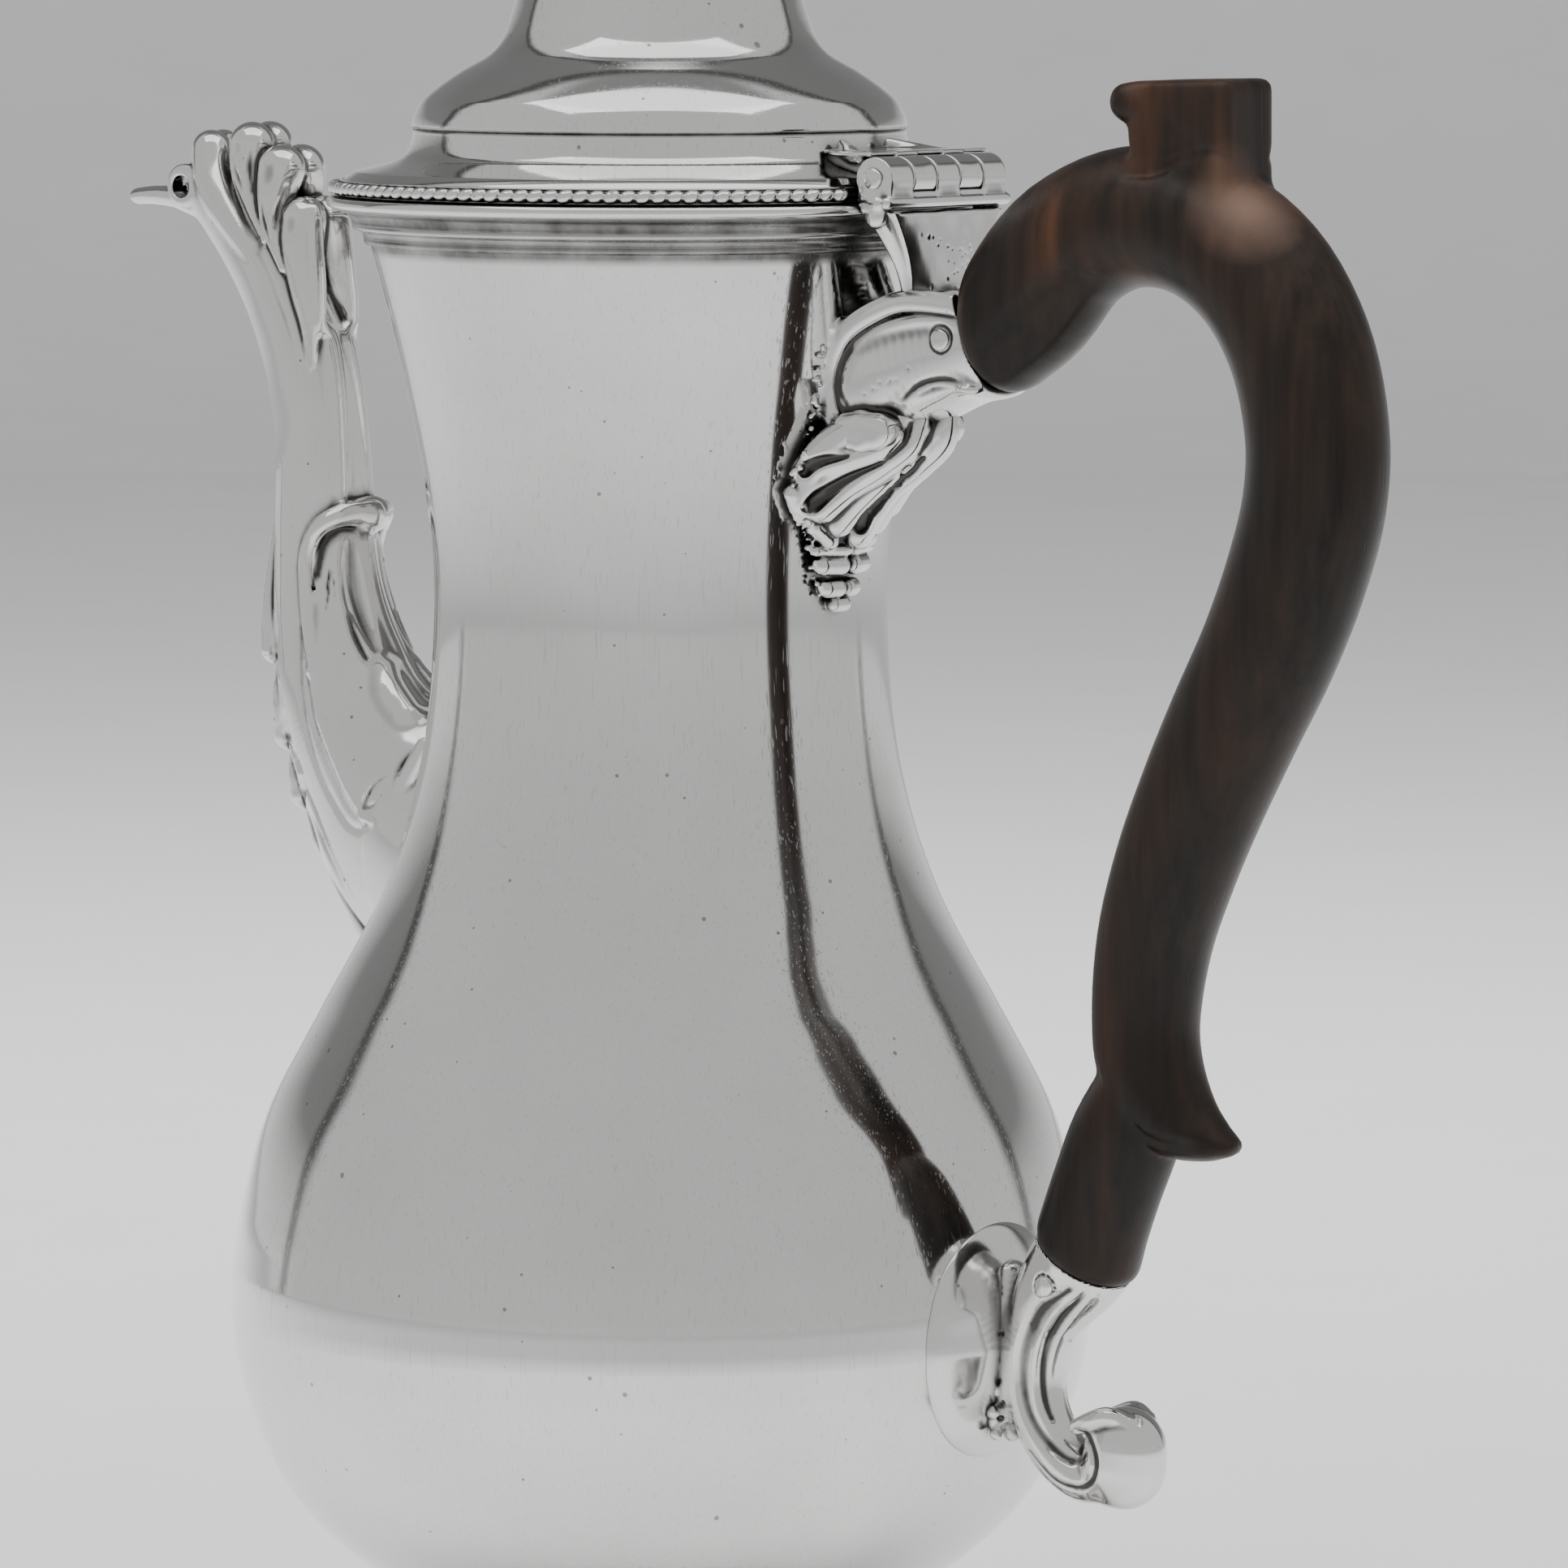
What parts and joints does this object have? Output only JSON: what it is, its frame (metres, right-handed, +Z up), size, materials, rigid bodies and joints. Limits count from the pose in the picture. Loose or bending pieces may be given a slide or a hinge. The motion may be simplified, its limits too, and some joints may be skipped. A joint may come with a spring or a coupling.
{
  "type": "silver coffee pot",
  "caption": "Tall baluster silver coffee pot on a spreading foot, with a hinged domed lid, a bird-head spout and a pinned scroll handle of dark wood.",
  "frame": {"origin": "centre of the ring that the foot stands on, on the pot's upright axis", "axes": "+Z up, +X towards the handle, the spout towards -X, and the lid's hinge pin along +Y"},
  "size_m": [0.2195, 0.1224, 0.2927],
  "materials": {
    "silver_sheet": "satin polished, with fine scratches",
    "silver_moulding": "polished, darker in its grooves",
    "silver_casting": "polished, darker in its recesses",
    "silver_fitting": "polished",
    "dark_hardwood": "oiled, satin, with a faint brown grain"
  },
  "bodies": {
    "pot": {"body_shell": "silver_sheet", "body_rim_moulding": "silver_moulding", "foot_stem": "silver_sheet", "foot_bead_border": "silver_moulding", "foot_base_rim": "silver_moulding", "spout_left_half": "silver_casting", "spout_right_half": "silver_casting", "upper_handle_socket": "silver_casting", "upper_shell_drop": "silver_casting", "upper_socket_pin": "silver_fitting", "lower_handle_socket": "silver_casting", "lower_socket_backplate": "silver_casting", "lower_socket_pin": "silver_fitting", "handle": "dark_hardwood", "hinge_bracket": "silver_fitting", "hinge_pin": "silver_fitting"},
    "lid": {"hinge_lid_leaf": "silver_fitting", "lid_collar": "silver_sheet", "lid_dome": "silver_sheet", "lid_bezel": "silver_sheet", "lid_bead_border": "silver_moulding", "finial": "silver_casting", "finial_washer": "silver_fitting", "finial_nut": "silver_fitting"}
  },
  "joints": [
    {"name": "lid_hinge", "type": "hinge", "parent": "pot", "child": "lid", "pos_m": [0.0475, 0, 0.236], "axis": [0, 1, 0], "range_deg": [0, 115]}
  ]
}
